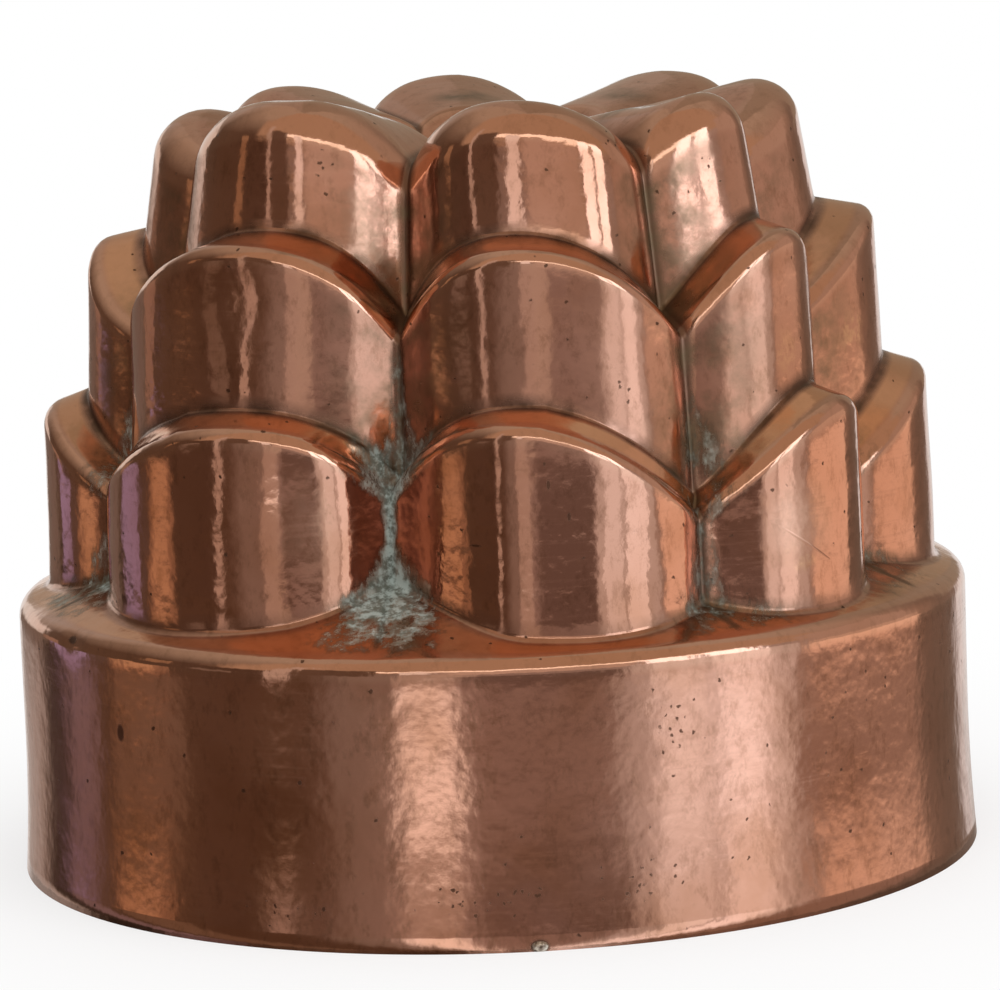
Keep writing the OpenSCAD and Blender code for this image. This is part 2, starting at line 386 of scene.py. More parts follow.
def crease_marks(petal, u, r, z, kind, base_r):
    """Verdigris and grey haze at a point, from how near it is to a crease.

    The verdigris spreads so many mm from the crease and has a share of its full growth there,
    and both are most at the foot of a tier.
    """
    half = math.radians(PETAL_WIDTHS[petal]) / 2
    near = (1 - abs(u)) * half * r
    if kind in ("shoulder>foot0", "foot0"):
        near = math.hypot(near, max(r - base_r, 0))
    growth = VERDIGRIS[petal - 1 if u < 0 else petal]
    if z < BAND_H + 0.5 or kind.endswith("floor") or kind == "shoulder":
        return 0.0, 0.0
    if kind in ("shoulder>foot0", "foot0"):
        spread, share = 8.5, 1.05
    elif kind == "foot0>edge1":
        spread, share = 1.1 + 4.5 * smooth(z, 56, 46), 0.95
    elif kind in ("edge1", "edge1>foot1", "foot1"):
        spread, share = 5.5, 0.75
    elif kind == "foot1>edge2":
        spread, share = 1.0 + 4.0 * smooth(z, 76, 66), 0.85 * smooth(z, 96, 66)
    else:
        spread, share = 1.2, 0.12
    by_foot = "foot" in kind and kind != "foot0>edge1"
    haze = math.exp(-((near / HAZE_WIDTH) ** 2)) if by_foot else 0.0
    return growth * share * math.exp(-((near / spread) ** 2)), haze


# How much oxide lies at each foot, and which stretches are edges, ledges and band
FEET = {"foot0": 0.35, "foot1": 1.0, "foot2": 1.0}
EDGES = ("edge1", "edge2", "edge3", "edge4", "shoulder")
LEDGES = ("shoulder>foot0", "edge1>foot1", "edge2>foot2")
BAND = ("band", "band>shoulder")


def make_shell():
    """The mould as one lofted skin with the thickness of its copper.

    Its petals are lofted column by column, because no turned or extruded form gives them.
    """
    shares = lean_in(COLUMNS_PER_PETAL)
    columns = []
    for petal in range(PETALS):
        for u in shares:
            columns.append((petal, u, column_profile(petal, u)))

    bm = bmesh.new()
    marks = {name: bm.verts.layers.float.new(name) for name in MARKS}
    grid = []
    for petal, u, rows in columns:
        line = []
        base_r = next(r for r, z, angle, kind, along in rows if kind == "foot0")
        for r, z, angle, kind, along in rows:
            place = press(r * math.sin(angle), -r * math.cos(angle), z, kind, along)
            v = bm.verts.new(Vector(place) * MM)
            half = math.radians(PETAL_WIDTHS[petal]) / 2
            near = (1 - abs(u)) * half * r
            on_crown = z > BAND_H + 1 and kind != "shoulder" and not kind.endswith("floor")
            v[marks["verdigris"]], v[marks["haze"]] = crease_marks(petal, u, r, z, kind, base_r)
            v[marks["crease"]] = math.exp(-((near / CREASE_WIDTH) ** 2)) if on_crown else 0.0
            v[marks["foot"]] = FEET.get(kind, 0.0)
            v[marks["edge"]] = float(kind in EDGES)
            v[marks["ledge"]] = float(kind in LEDGES)
            v[marks["band"]] = float(kind in BAND)
            line.append(v)
        grid.append(line)
    count, depth = len(grid), len(grid[0])
    for j in range(count):
        a, b = grid[j], grid[(j + 1) % count]
        for k in range(depth - 1):
            bm.faces.new((a[k], b[k], b[k + 1], a[k + 1]))
    pole = bm.verts.new((0, 0, grid[0][-1].co.z))
    for j in range(count):
        bm.faces.new((grid[j][-1], grid[(j + 1) % count][-1], pole))
    bm.normal_update()
    bmesh.ops.recalc_face_normals(bm, faces=bm.faces[:])

    normals = {v: v.normal.copy() for v in bm.verts}
    for v, n in normals.items():
        height = v.co.z / MM
        v.co += n * hand_work(v.co, height) * MM * smooth(height, 0, 6)

    mesh = bpy.data.meshes.new("mould_skin")
    bm.to_mesh(mesh)
    bm.free()
    shell = bpy.data.objects.new("copper_shell", mesh)
    bpy.context.collection.objects.link(shell)
    for poly in mesh.polygons:
        poly.use_smooth = True

    skin = shell.modifiers.new("copper thickness", "SOLIDIFY")
    skin.thickness = WALL * MM
    skin.offset = -1
    skin.use_even_offset = False
    skin.material_offset = 1
    skin.material_offset_rim = 0
    bpy.context.view_layer.objects.active = shell
    shell.select_set(True)
    bpy.ops.object.modifier_apply(modifier=skin.name)
    shell.select_set(False)
    for v in shell.data.vertices:
        v.co.z = min(max(v.co.z, cad_low.z), cad_high.z)
        flat = math.hypot(v.co.x, v.co.y)
        if flat > cad_high.x:
            v.co.x *= cad_high.x / flat
            v.co.y *= cad_high.x / flat
    return shell


def new_material(name):
    material = bpy.data.materials.new(name)
    material.use_nodes = True
    nodes = material.node_tree.nodes
    nodes.clear()
    out = nodes.new("ShaderNodeOutputMaterial")
    return material, nodes, material.node_tree.links, out


# The drop of solder on the rim, in mm: half its width, depth and height, where its underside
# is cut flat, and its place
DROP_HALVES = (1.3, 0.5, 0.85)
DROP_CUT = -0.65
DROP_TURN = math.radians(-6.5)
DROP_R, DROP_H = 74.85, 0.66


def make_solder_drop():
    """A drop of solder that ran down the outside and stands on the rim, its underside flat."""
    bpy.ops.object.select_all(action="DESELECT")
    bpy.ops.mesh.primitive_uv_sphere_add(segments=32, ring_count=16, radius=MM,
                                         location=(0, 0, 0))
    drop = bpy.context.object
    drop.name = "solder_drop"
    bpy.ops.object.mode_set(mode="EDIT")
    bpy.ops.mesh.select_all(action="SELECT")
    bpy.ops.transform.resize(value=DROP_HALVES)
    bpy.ops.mesh.bisect(plane_co=(0, 0, DROP_CUT * MM), plane_no=(0, 0, 1), use_fill=True,
                        clear_inner=True, threshold=0.001 * MM)
    bpy.ops.mesh.select_all(action="SELECT")
    bpy.ops.transform.rotate(value=-DROP_TURN, orient_axis="Z", center_override=(0, 0, 0))
    bpy.ops.transform.translate(value=on_wall(math.degrees(DROP_TURN), DROP_R, DROP_H))
    bpy.ops.object.mode_set(mode="OBJECT")
    bpy.ops.object.shade_smooth()
    drop.data.materials.append(solder_finish())
    drop.select_set(False)
    return drop


def value_node(nodes, links, kind, inputs, **settings):
    """A node with its inputs set to numbers or linked to other nodes' sockets."""
    node = nodes.new(kind)
    for key, setting in settings.items():
        setattr(node, key, setting)
    for key, value in inputs.items():
        if isinstance(value, bpy.types.NodeSocket):
            links.new(value, node.inputs[key])
        else:
            node.inputs[key].default_value = value
    return node


# Marks on the copper: angle from the front in degrees, radius, height, then half the width
# and half the height of the place, in mm
PITTED = (
    (-13.9, 74.5, 7.5, 16.0, 4.0), (5.0, 74.5, 9.0, 9.0, 4.0), (9.3, 74.1, 32.0, 5.5, 8.0),
    (-35.0, 74.5, 6.0, 9.0, 3.0), (8.0, 61.0, 78.0, 5.0, 5.0), (-38.7, 49.2, 110.4, 4.0, 4.0),
    (12.0, 48.3, 111.8, 5.0, 4.0), (30.0, 48.8, 107.8, 3.0, 5.0), (20.0, 66.0, 48.0, 9.0, 3.0),
)
DARK_SPOTS_AND_DROP_SHADOW = (
    (-58.8, 74.1, 29.1, 1.0, 1.7), (-69.0, 73.8, 41.3, 1.5, 0.7), (-31.0, 64.5, 61.2, 0.6, 0.4),
    (-12.2, 67.5, 57.5, 1.3, 0.3), (-3.1, 69.0, 66.4, 0.35, 0.9), (-0.8, 69.1, 61.7, 0.35, 0.8),
    # The last spot is a painted shadow: a dark ring round the solder drop
    (-6.5, 75.0, 0.8, 1.75, 1.2),
)
# Dull patches: the copper is rougher there, and a lighter pink is painted on as a painted sheen of
# soft window light
DULL_PATCHES_WITH_SHEEN = ((-33.0, 64.0, 60.0, 9.0, 13.0), (31.0, 68.0, 57.0, 9.0, 10.0))
RUBBED = (
    (33.8, 61.6, 81.4, 4.0, 5.0), (60.6, 59.3, 81.0, 5.0, 4.0), (30.7, 68.3, 52.0, 4.0, 3.0),
)
# Painted dark reflections: mottled dark olive painted on vaults and walls where they mirror the dim
# room and ceiling
PAINTED_DARK_REFLECTIONS = (
    (172.0, 31.0, 114.0, 8.0, 6.0), (118.0, 31.0, 114.0, 9.0, 7.0), (33.0, 33.0, 114.5, 8.0, 7.0),
    (22.0, 36.0, 110.0, 5.0, 6.0), (15.0, 55.0, 75.0, 4.0, 5.0), (-44.0, 50.0, 96.0, 3.0, 7.0),
)


# How deep into the wall a mark reaches, in mm, and how much thinner than long a scratch is
SPOT_DEPTH = 5
SCRATCH_STRETCH = 55


def copper_finish():
    material, nodes, links, out = new_material("old_copper")

    def add(kind, inputs=None, **settings):
        return value_node(nodes, links, kind, inputs or {}, **settings)

    def mixed(factor, a, b, blend="MIX"):
        node = add("ShaderNodeMix", {}, data_type="RGBA", blend_type=blend)
        for socket, value in zip((node.inputs[0], node.inputs[6], node.inputs[7]), (factor, a, b)):
            if isinstance(value, bpy.types.NodeSocket):
                links.new(value, socket)
            else:
                socket.default_value = value
        return node.outputs[2]

    def ranged(value, low, high, to_low=0.0, to_high=1.0):
        node = add("ShaderNodeMapRange", {0: value, 1: low, 2: high, 3: to_low, 4: to_high})
        node.interpolation_type = "SMOOTHSTEP"
        return node.outputs[0]

    def maths(kind, a, b=0.0):
        return add("ShaderNodeMath", {0: a, 1: b}, operation=kind).outputs[0]

    def cloud(scale, detail=3.0, rough=0.55, shift=0.0, stretch=(1, 1, 1)):
        place = add("ShaderNodeMapping", {"Vector": coords})
        place.inputs["Location"].default_value = (shift, shift * 0.7, shift * 0.3)
        place.inputs["Scale"].default_value = stretch
        node = add("ShaderNodeTexNoise", {"Vector": place.outputs[0], "Scale": scale,
                                          "Detail": detail, "Roughness": rough})
        return node.outputs["Fac"]

    coords = add("ShaderNodeTexCoord").outputs["Object"]
    mark = {name: add("ShaderNodeAttribute", attribute_name=name).outputs["Fac"]
            for name in MARKS}

    def spot(angle, radius, height, across, up, tilt=0.0, core=0.5):
        """1 on an oval of the wall, and 0 outside it, from its place and half its size in mm."""
        place = add("ShaderNodeMapping", {"Vector": coords}, vector_type="TEXTURE")
        place.inputs["Location"].default_value = on_wall(angle, radius, height)
        place.inputs["Rotation"].default_value = (0, math.radians(tilt), math.radians(angle))
        place.inputs["Scale"].default_value = (across * MM, SPOT_DEPTH * MM, up * MM)
        far = add("ShaderNodeVectorMath", {0: place.outputs[0]}, operation="LENGTH")
        return ranged(far.outputs["Value"], 1.0, core)

    def any_of(spots, core):
        whole = spot(*spots[0], core=core)
        for one in spots[1:]:
            whole = maths("MAXIMUM", whole, spot(*one, core=core))
        return whole

    def hairs(turn, shift, low, high):
        """Fine long scratches in one direction."""
        place = add("ShaderNodeMapping", {"Vector": coords})
        place.inputs["Location"].default_value = (shift, shift, shift)
        place.inputs["Rotation"].default_value = turn
        place.inputs["Scale"].default_value = (1, 1, SCRATCH_STRETCH)
        lines = add("ShaderNodeTexNoise", {"Vector": place.outputs[0], "Scale": 42.0,
                                           "Detail": 1.0})
        return ranged(lines.outputs["Fac"], low, high)

    # Polished copper, pink where it has dulled evenly and browner in clouds, with a painted
    # reflection on the ledges and a painted sheen on the dull patches
    tone = mixed(ranged(cloud(22, 3), 0.35, 0.68), (0.67, 0.375, 0.28, 1), (0.75, 0.45, 0.36, 1))
    tone = mixed(ranged(cloud(60, 4, shift=4), 0.48, 0.72, 0, 0.45), tone, (0.50, 0.25, 0.15, 1))
    grain = cloud(420, 5, 0.75, shift=9, stretch=(1, 1, 0.6))
    tone = mixed(ranged(grain, 0.48, 0.70, 0, 0.42), tone, (0.33, 0.17, 0.105, 1))
    # Painted reflection: the ledges and the shoulder's foot are painted a brighter orange for the
    # copper walls they mirror
    tone = mixed(ranged(mark["ledge"], 0.0, 1.0, 0, 0.7), tone, (0.92, 0.53, 0.33, 1))
    tone = mixed(ranged(mark["edge"], 0.4, 1.0, 0, 0.35), tone, (0.84, 0.56, 0.44, 1))
    rubbed = maths("MULTIPLY", any_of(RUBBED, 0.3), ranged(cloud(260, 5, 0.7, shift=12), 0.42, 0.6))
    tone = mixed(maths("MULTIPLY", rubbed, 0.7), tone, (0.90, 0.58, 0.38, 1))

    # The dull patches are rougher, and their lighter pink is a painted sheen of soft window light
    dull_and_sheen = maths("MULTIPLY", any_of(DULL_PATCHES_WITH_SHEEN, 0.1), ranged(grain, 0.3, 0.6, 0.6, 1.0))
    tone = mixed(maths("MULTIPLY", dull_and_sheen, 0.55), tone, (0.90, 0.62, 0.50, 1))

    # Dark oxide along the feet of the walls and down the creases
    oxide = maths("MULTIPLY", mark["foot"], ranged(cloud(130, 4, shift=2), 0.3, 0.65, 0.3, 1.0))
    oxide = maths("MAXIMUM", oxide, maths("MULTIPLY", ranged(mark["crease"], 0.15, 0.9), 0.85))
    tone = mixed(maths("MULTIPLY", oxide, 0.85), tone, (0.06, 0.04, 0.028, 1))
    haze = ranged(cloud(170, 5, 0.6, shift=7), 0.35, 0.65, 0.0, 0.75)
    haze = maths("MULTIPLY", mark["haze"], haze)
    tone = mixed(haze, tone, (0.22, 0.18, 0.12, 1))
    # Painted dark reflection: mottled dark olive where the vaults and walls mirror the dim room
    mottled = ranged(cloud(120, 4, 0.65, shift=13), 0.35, 0.6, 0.4, 0.95)
    painted_dark_reflection = maths("MULTIPLY", any_of(PAINTED_DARK_REFLECTIONS, 0.2), mottled)
    tone = mixed(painted_dark_reflection, tone, (0.13, 0.10, 0.055, 1))

    # Pits: one dark speck in a few of many small cells, in more of them where the copper is eaten
    shaken = add("ShaderNodeTexNoise", {"Vector": coords, "Scale": 1500.0, "Detail": 1.0})
    shaken = add("ShaderNodeVectorMath", {0: shaken.outputs["Color"], 1: (0.0007, 0.0007, 0.0007)},
                 operation="MULTIPLY")
    shaken = add("ShaderNodeVectorMath", {0: coords, 1: shaken.outputs[0]}, operation="ADD")
    cells = add("ShaderNodeTexVoronoi", {"Vector": shaken.outputs[0], "Scale": 800.0})
    chance = add("ShaderNodeSeparateColor", {0: cells.outputs["Color"]}).outputs[0]
    eaten = maths("MULTIPLY", any_of(PITTED, 0.1), ranged(cloud(150, 2, shift=14), 0.36, 0.55))
    limit = maths("SUBTRACT", 0.972, maths("MULTIPLY", eaten, 1.7))
    pits_and_drop_shadow = maths("MULTIPLY", maths("GREATER_THAN", chance, limit),
                 ranged(cells.outputs["Distance"], 0.30, 0.16))
    # Dark spots join the pits, and one of them is a painted shadow round the solder drop
    pits_and_drop_shadow = maths("MAXIMUM", pits_and_drop_shadow, any_of(DARK_SPOTS_AND_DROP_SHADOW, 0.55))
    tone = mixed(maths("MULTIPLY", pits_and_drop_shadow, 0.8), tone, (0.07, 0.035, 0.02, 1))

    # Verdigris on a dark ground: a thin veil, thickest at the foot of the creases
    powder = cloud(300, 5, 0.75, shift=6, stretch=(1, 1, 0.45))
    veil = maths("ADD", mark["verdigris"], ranged(powder, 0.3, 0.7, -0.36, 0.36))
    ground = maths("MULTIPLY", ranged(veil, 0.05, 0.5), ranged(mark["verdigris"], 0.02, 0.2))
    tone = mixed(maths("MULTIPLY", ground, 0.6), tone, (0.09, 0.075, 0.05, 1))
    bloom = maths("MULTIPLY", ranged(veil, 0.25, 0.95), ranged(mark["verdigris"], 0.05, 0.3))
    green = mixed(ranged(cloud(700, 3, 0.7, shift=1), 0.38, 0.62),
                  (0.085, 0.11, 0.09, 1), (0.40, 0.47, 0.43, 1))
    tone = mixed(maths("MULTIPLY", bloom, 0.78), tone, green)

    # Bright polish between fine scratches, duller in clouds and on the band
    scratched = hairs((0, 0.1, 0), 0.0, 0.60, 0.68)
    scratched = maths("MAXIMUM", scratched, hairs((0.2, -0.5, 0.3), 3.0, 0.64, 0.70))
    scratched = maths("MAXIMUM", scratched, hairs((0.1, 1.1, 0.2), 5.0, 0.66, 0.72))
    scratched = maths("MULTIPLY", scratched, ranged(cloud(35, 2, shift=15), 0.35, 0.65, 0.15, 1.0))
    rough = ranged(cloud(30, 4, 0.6, shift=2), 0.35, 0.65, 0.05, 0.11)
    rough = maths("ADD", rough, ranged(grain, 0.35, 0.6, 0.0, 0.02))
    rough = maths("ADD", rough, maths("MULTIPLY", scratched, 0.04))
    rough = maths("ADD", rough, maths("MULTIPLY", mark["ledge"], 0.03))
    rough = maths("ADD", rough, maths("MULTIPLY", dull_and_sheen, 0.13))
    rough = maths("ADD", rough, maths("MULTIPLY", mark["band"], 0.055))
    for worn, share in ((oxide, 0.25), (haze, 0.2), (painted_dark_reflection, 0.15), (pits_and_drop_shadow, 0.25), (bloom, 0.5)):
        rough = maths("ADD", rough, maths("MULTIPLY", worn, share))

    waves = maths("MULTIPLY", cloud(230, 2, shift=8), 2.2)
    waves = maths("ADD", waves, maths("MULTIPLY", cloud(700, 3, shift=8), 0.4))
    cuts = maths("MULTIPLY", spot(31.3, 68.3, 54.0, 6.4, 0.22, 33.6), 2.0)
    relief = add("ShaderNodeBump", {"Height": maths("SUBTRACT", waves, cuts), "Strength": 0.07,
                                    "Distance": 0.0006})

    metal = maths("SUBTRACT", 1.0, maths("MULTIPLY", bloom, 0.9))
    shader = add("ShaderNodeBsdfPrincipled", {"Base Color": tone, "Roughness": rough,
                                              "Metallic": metal, "Normal": relief.outputs[0]})
    links.new(shader.outputs[0], out.inputs[0])
    return material


def solder_finish():
    material, nodes, links, out = new_material("solder")
    coords = value_node(nodes, links, "ShaderNodeTexCoord", {}).outputs["Object"]
    grain = value_node(nodes, links, "ShaderNodeTexNoise",
                       {"Vector": coords, "Scale": 1600.0, "Detail": 3.0})
    tone = value_node(nodes, links, "ShaderNodeValToRGB", {"Fac": grain.outputs["Fac"]})
    tone.color_ramp.elements[0].position = 0.35
    tone.color_ramp.elements[0].color = (0.16, 0.12, 0.09, 1)
    tone.color_ramp.elements[1].position = 0.6
    tone.color_ramp.elements[1].color = (0.66, 0.62, 0.56, 1)
    shader = value_node(nodes, links, "ShaderNodeBsdfPrincipled",
                        {"Base Color": tone.outputs[0], "Metallic": 0.9, "Roughness": 0.32})
    links.new(shader.outputs[0], out.inputs[0])
    return material


def tin_finish():
    material, nodes, links, out = new_material("old_tin")
    coords = value_node(nodes, links, "ShaderNodeTexCoord", {}).outputs["Object"]
    cloud = value_node(nodes, links, "ShaderNodeTexNoise",
                       {"Vector": coords, "Scale": 45.0, "Detail": 5.0})
    ramp = value_node(nodes, links, "ShaderNodeValToRGB", {"Fac": cloud.outputs["Fac"]})
    ramp.color_ramp.elements[0].position = 0.35
    ramp.color_ramp.elements[0].color = (0.30, 0.28, 0.25, 1)
    ramp.color_ramp.elements[1].position = 0.65
    ramp.color_ramp.elements[1].color = (0.58, 0.56, 0.52, 1)
    bump = value_node(nodes, links, "ShaderNodeBump",
                      {"Height": cloud.outputs["Fac"], "Strength": 0.2, "Distance": 0.0008})
    shader = value_node(nodes, links, "ShaderNodeBsdfPrincipled",
                        {"Base Color": ramp.outputs[0], "Metallic": 0.9, "Roughness": 0.42,
                         "Normal": bump.outputs[0]})
    links.new(shader.outputs[0], out.inputs[0])
    return material


# How the camera is turned from looking straight at the axis, in radians, and its lens in mm.
# The photo is 1000 pixels wide, and the sensor 36 mm.
CAMERA_YAW, CAMERA_PITCH, CAMERA_ROLL = 0.002509, 0.148613, -0.038925
PICTURE_WIDTH = 1000
SENSOR_WIDTH = 36
CAMERA_LENS = 4725.08 / PICTURE_WIDTH * SENSOR_WIDTH


def set_camera():
    forward = Vector((math.sin(CAMERA_YAW) * math.cos(CAMERA_PITCH),
                      math.cos(CAMERA_YAW) * math.cos(CAMERA_PITCH), -math.sin(CAMERA_PITCH)))
    level = Vector((math.cos(CAMERA_YAW), -math.sin(CAMERA_YAW), 0))
    up = level.cross(forward)
    right = level * math.cos(CAMERA_ROLL) + up * math.sin(CAMERA_ROLL)
    up = right.cross(forward)
    pose = Matrix((right, up, -forward)).transposed().to_4x4()
    pose.translation = Vector((0, -CAMERA_BACK, CAMERA_UP))
    pose = Matrix.Rotation(CAMERA_TURN, 4, "Z") @ pose
    data = bpy.data.cameras.new("camera")
    data.sensor_width = SENSOR_WIDTH
    data.lens = CAMERA_LENS
    data.clip_start, data.clip_end = 0.05, 50
    camera = bpy.data.objects.new("camera", data)
    bpy.context.collection.objects.link(camera)
    camera.matrix_world = pose
    bpy.context.scene.camera = camera


# The floor's radius in m, and how far from the axis it begins to turn white and is full white,
# with its share of white at the mould
FLOOR_R = 8
SHADOW_FROM, SHADOW_TO, SHADOW_SHARE = 0.075, 0.20, 0.62


def set_floor():
    bpy.ops.object.select_all(action="DESELECT")
    bpy.ops.mesh.primitive_circle_add(vertices=96, radius=FLOOR_R, fill_type="NGON",
                                      location=(0, 0, 0))
    floor = bpy.context.object
    floor.name = "floor"
    material, nodes, links, out = new_material("pale_floor")
    matt = value_node(nodes, links, "ShaderNodeBsdfDiffuse", {"Color": (0.93, 0.93, 0.93, 1)})
    white = value_node(nodes, links, "ShaderNodeEmission", {"Color": (1, 1, 1, 1), "Strength": 1.0})
    clear = value_node(nodes, links, "ShaderNodeBsdfTransparent", {})
    path = value_node(nodes, links, "ShaderNodeLightPath", {})
    # Seen by the camera, the floor is white from a hand's breadth outside the mould's shadow
    place = value_node(nodes, links, "ShaderNodeTexCoord", {}).outputs["Object"]
    reach = value_node(nodes, links, "ShaderNodeVectorMath", {0: place}, operation="LENGTH")
    far = value_node(nodes, links, "ShaderNodeMapRange",
                     {0: reach.outputs["Value"], 1: SHADOW_FROM, 2: SHADOW_TO,
                      3: SHADOW_SHARE, 4: 1.0})
    far.interpolation_type = "SMOOTHSTEP"
    seen = value_node(nodes, links, "ShaderNodeMath", {0: path.outputs["Is Camera Ray"],
                                                       1: far.outputs[0]}, operation="MULTIPLY")
    pale = value_node(nodes, links, "ShaderNodeMixShader", {0: seen.outputs[0], 1: matt.outputs[0],
                                                            2: white.outputs[0]})
    mix = value_node(nodes, links, "ShaderNodeMixShader", {0: path.outputs["Is Glossy Ray"],
                                                           1: pale.outputs[0], 2: clear.outputs[0]})
    links.new(mix.outputs[0], out.inputs[0])
    floor.data.materials.append(material)
    floor.select_set(False)


# The room that the copper mirrors, by the angle from the camera to the right, in degrees
ROOM = (
    (-180, 0.46, 0.43, 0.40), (-150, 0.36, 0.31, 0.26), (-134, 0.12, 0.085, 0.06),
    (-112, 0.12, 0.078, 0.05), (-60, 0.10, 0.06, 0.038), (-44, 0.14, 0.09, 0.062),
    (-34, 0.27, 0.21, 0.17), (0, 0.30, 0.225, 0.19), (28, 0.36, 0.29, 0.25),
    (75, 0.42, 0.34, 0.29), (82, 0.40, 0.29, 0.22), (116, 0.38, 0.27, 0.20),
    (134, 0.21, 0.155, 0.115), (165, 0.27, 0.21, 0.17), (180, 0.46, 0.43, 0.40),
)

# What stands in that room: its left and right side, its lowest and highest edge, how soft its
# sides and its edges are, all in degrees, and its colour
PANELS = (
    (-70, 90, 16, 90, 14, 6, (0.46, 0.32, 0.21)),
    (-40, 60, 20, 26, 14, 1.5, (1.55, 1.38, 1.16)),
    (-200, -163, -90, 3, 3, 4, (0.84, 0.81, 0.78)),
    (-200, -163, 3, 90, 3, 4, (0.38, 0.31, 0.24)),
    (-165, -142, -90, -10, 3, 1, (0.46, 0.41, 0.37)),
    (-163, -140, -10, -2, 3, 2, (0.20, 0.15, 0.12)),
    (-165, -138, 0, 14, 2, 4, (0.80, 0.76, 0.70)),
    (-139, -126, -90, -9, 1.5, 1, (0.05, 0.035, 0.025)),
    (-136, -124, -5.5, 2, 2, 1, (0.32, 0.21, 0.15)),
    (-125, -111, -90, -10, 1.5, 1, (0.24, 0.18, 0.19)),
    (-130, -113, -9, -5.5, 1.5, 1, (0.36, 0.29, 0.46)),
    (-113, -105, -9, -5.5, 1, 1, (0.13, 0.09, 0.07)),
    (-104, -80, -90, -10, 1.5, 1, (0.20, 0.135, 0.09)),
    (-104, -84, -9.5, -5, 2, 1, (0.34, 0.20, 0.12)),
    (-101, -88, -8.6, -5.8, 1.5, 1.2, (0.60, 0.37, 0.21)),
    (-92, -84, 5, 16, 1, 3, (0.34, 0.21, 0.12)),
    (-75, -64, -3, 3, 2, 2, (0.22, 0.16, 0.12)),
    (-79, -45, -90, -8, 1.5, 2, (0.11, 0.066, 0.04)),
    (-55, -50, -8, 40, 1, 4, (0.55, 0.44, 0.36)),
    (-50, -30, 3, 30, 3, 4, (0.14, 0.09, 0.06)),
    (-40, -26, -90, -10, 2, 1, (0.25, 0.20, 0.16)),
    (-23.5, -9, -90, -10.2, 2.5, 0.8, (1.38, 1.30, 1.20)),
    (-24, -10, -10, 8, 3, 1, (0.48, 0.38, 0.31)),
    (-23, -15, 9, 24, 1.5, 2, (1.00, 0.92, 0.84)),
    (-6, 28, -90, -10, 3, 0.8, (0.31, 0.235, 0.195)),
    (-12, 34, 4, 19, 4, 2, (0.58, 0.45, 0.36)),
    (-16, -5, -4, 3, 2, 1, (0.50, 0.40, 0.32)),
    (-6, 30, -9.6, -4.5, 4, 1, (0.16, 0.112, 0.09)),
    (28, 38, -90, -10, 2, 0.8, (0.55, 0.50, 0.46)),
    (38, 51, -90, -10, 1, 0.8, (1.20, 1.18, 1.14)),
    (53, 67, -90, -10, 1, 0.8, (1.42, 1.42, 1.42)),
    (67, 74, -90, -10, 2, 0.8, (0.85, 0.80, 0.74)),
    (32, 76, -9.8, 6, 3, 1, (0.62, 0.55, 0.49)),
    (37, 50, -9.8, 4, 1, 1, (0.90, 0.84, 0.78)),
    (53, 68, -9.8, 4, 1, 1, (1.12, 1.06, 1.00)),
    (36, 48, 5, 24, 1, 3, (2.00, 2.00, 2.00)),
    (51, 65, 5, 24, 1, 3, (2.10, 2.10, 2.10)),
    (76, 122, -90, -10, 3, 1, (0.32, 0.225, 0.17)),
    (80, 122, -9.6, -5, 3, 1, (0.94, 0.68, 0.50)),
    (80, 120, -5, 2, 3, 1, (0.60, 0.44, 0.33)),
    (80, 120, 2, 30, 3, 1, (0.46, 0.34, 0.26)),
    (122, 152, -90, -8, 4, 2, (0.18, 0.135, 0.10)),
    (150, 200, -12, 3, 4, 3, (0.84, 0.83, 0.81)),
    (140, 200, 3, 90, 6, 4, (0.32, 0.26, 0.19)),
)

# The ceiling over it, from one height in degrees, where it begins, to another, where it is full
CEILING = (0.44, 0.36, 0.27)
CEILING_BEGINS, CEILING_FULL = 18.0, 60.0

# What lights all matt things evenly, and what the camera sees behind the mould
PLAIN_LIGHT = (0.8, 0.8, 0.8)
WHITE = (1.0, 1.0, 1.0)


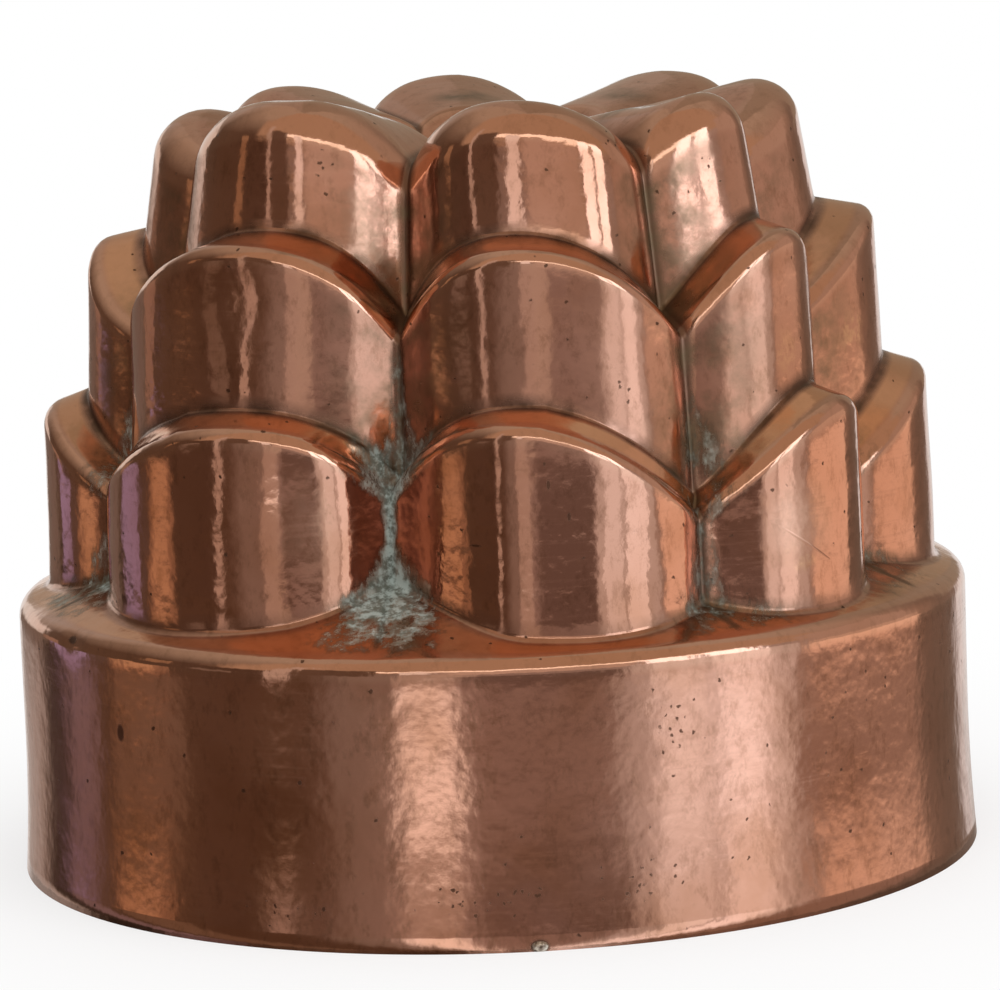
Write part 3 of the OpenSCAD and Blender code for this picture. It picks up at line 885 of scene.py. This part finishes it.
def set_world():
    world = bpy.data.worlds.new("studio")
    bpy.context.scene.world = world
    world.use_nodes = True
    nodes, links = world.node_tree.nodes, world.node_tree.links
    nodes.clear()

    def add(kind, inputs=None, **settings):
        return value_node(nodes, links, kind, inputs or {}, **settings)

    def maths(kind, a, b=0.0, c=0.0):
        return add("ShaderNodeMath", {0: a, 1: b, 2: c}, operation=kind).outputs[0]

    def within(value, low, high, soft):
        """1 between low and high, falling to 0 over the soft margin outside each."""
        off = maths("ABSOLUTE", maths("SUBTRACT", value, (low + high) / 2))
        half = (high - low) / 2
        fall = add("ShaderNodeMapRange", {0: off, 1: half - soft / 2, 2: half + soft / 2,
                                          3: 1.0, 4: 0.0})
        fall.interpolation_type = "SMOOTHSTEP"
        return fall.outputs[0]

    def laid_over(under, factor, over):
        node = add("ShaderNodeMix", {0: factor}, data_type="RGBA")
        for socket, value in ((node.inputs[6], under), (node.inputs[7], over)):
            if isinstance(value, bpy.types.NodeSocket):
                links.new(value, socket)
            else:
                socket.default_value = (*value, 1)
        return node.outputs[2]

    out = add("ShaderNodeOutputWorld")
    way = add("ShaderNodeSeparateXYZ", {0: add("ShaderNodeTexCoord").outputs["Generated"]})
    angle = maths("ARCTAN2", way.outputs["X"], maths("MULTIPLY", way.outputs["Y"], -1.0))
    angle = maths("WRAP", maths("SUBTRACT", angle, CAMERA_TURN), math.pi, -math.pi)
    degrees = maths("MULTIPLY", angle, math.degrees(1))
    height = maths("MULTIPLY", maths("ARCSINE", way.outputs["Z"]), math.degrees(1))

    share = add("ShaderNodeMapRange", {0: degrees, 1: -180.0, 2: 180.0, 3: 0.0, 4: 1.0})
    ramp = add("ShaderNodeValToRGB", {"Fac": share.outputs[0]})
    stops = ramp.color_ramp.elements
    while len(stops) < len(ROOM):
        stops.new(0.5)
    for stop, (at, r, g, b) in zip(stops, ROOM):
        stop.position = (at + 180) / 360
        stop.color = (r, g, b, 1)
    rise = add("ShaderNodeMapRange", {0: height, 1: CEILING_BEGINS, 2: CEILING_FULL,
                                      3: 0.0, 4: 1.0})
    mirrored = laid_over(ramp.outputs[0], rise.outputs[0], CEILING)
    for left, right, low, high, soft, soft_edge, colour in PANELS:
        beside = within(degrees, left, right, soft)
        mask = maths("MULTIPLY", beside, within(height, low, high, soft_edge))
        mirrored = laid_over(mirrored, mask, colour)

    path = add("ShaderNodeLightPath")
    plain = laid_over(PLAIN_LIGHT, path.outputs["Is Camera Ray"], WHITE)
    shown = laid_over(plain, path.outputs["Is Glossy Ray"], mirrored)
    light = add("ShaderNodeBackground", {"Color": shown, "Strength": 1.0})
    links.new(light.outputs[0], out.inputs[0])


# The middle of the mould, which the lamp faces
LAMP_AIM = (0, 0, 0.07)


def add_lamp(name, angle, distance, height, width, tall, power):
    """A soft box that faces the mould, at an angle from the camera to the right."""
    data = bpy.data.lights.new(name, "AREA")
    data.shape = "RECTANGLE"
    data.size, data.size_y = width, tall
    data.energy = power
    lamp = bpy.data.objects.new(name, data)
    bpy.context.collection.objects.link(lamp)
    turn = math.radians(angle) + CAMERA_TURN
    lamp.location = (distance * math.sin(turn), -distance * math.cos(turn), height)
    aim = Vector(LAMP_AIM) - lamp.location
    lamp.rotation_mode = "QUATERNION"
    lamp.rotation_quaternion = aim.to_track_quat("-Z", "Y")
    # The room that the copper mirrors already holds the light that shows in it
    lamp.visible_glossy = False


set_camera()
set_floor()
set_world()
add_lamp("top_box", angle=20, distance=0.5, height=1.6, width=1.2, tall=0.8, power=9)
bpy.context.scene.view_settings.view_transform = "Standard"

copper_shell = make_shell()
copper_shell.data.materials.append(copper_finish())
copper_shell.data.materials.append(tin_finish())
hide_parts("mould_shell")
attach(copper_shell, "root")

solder_drop = make_solder_drop()
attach(solder_drop, "root")
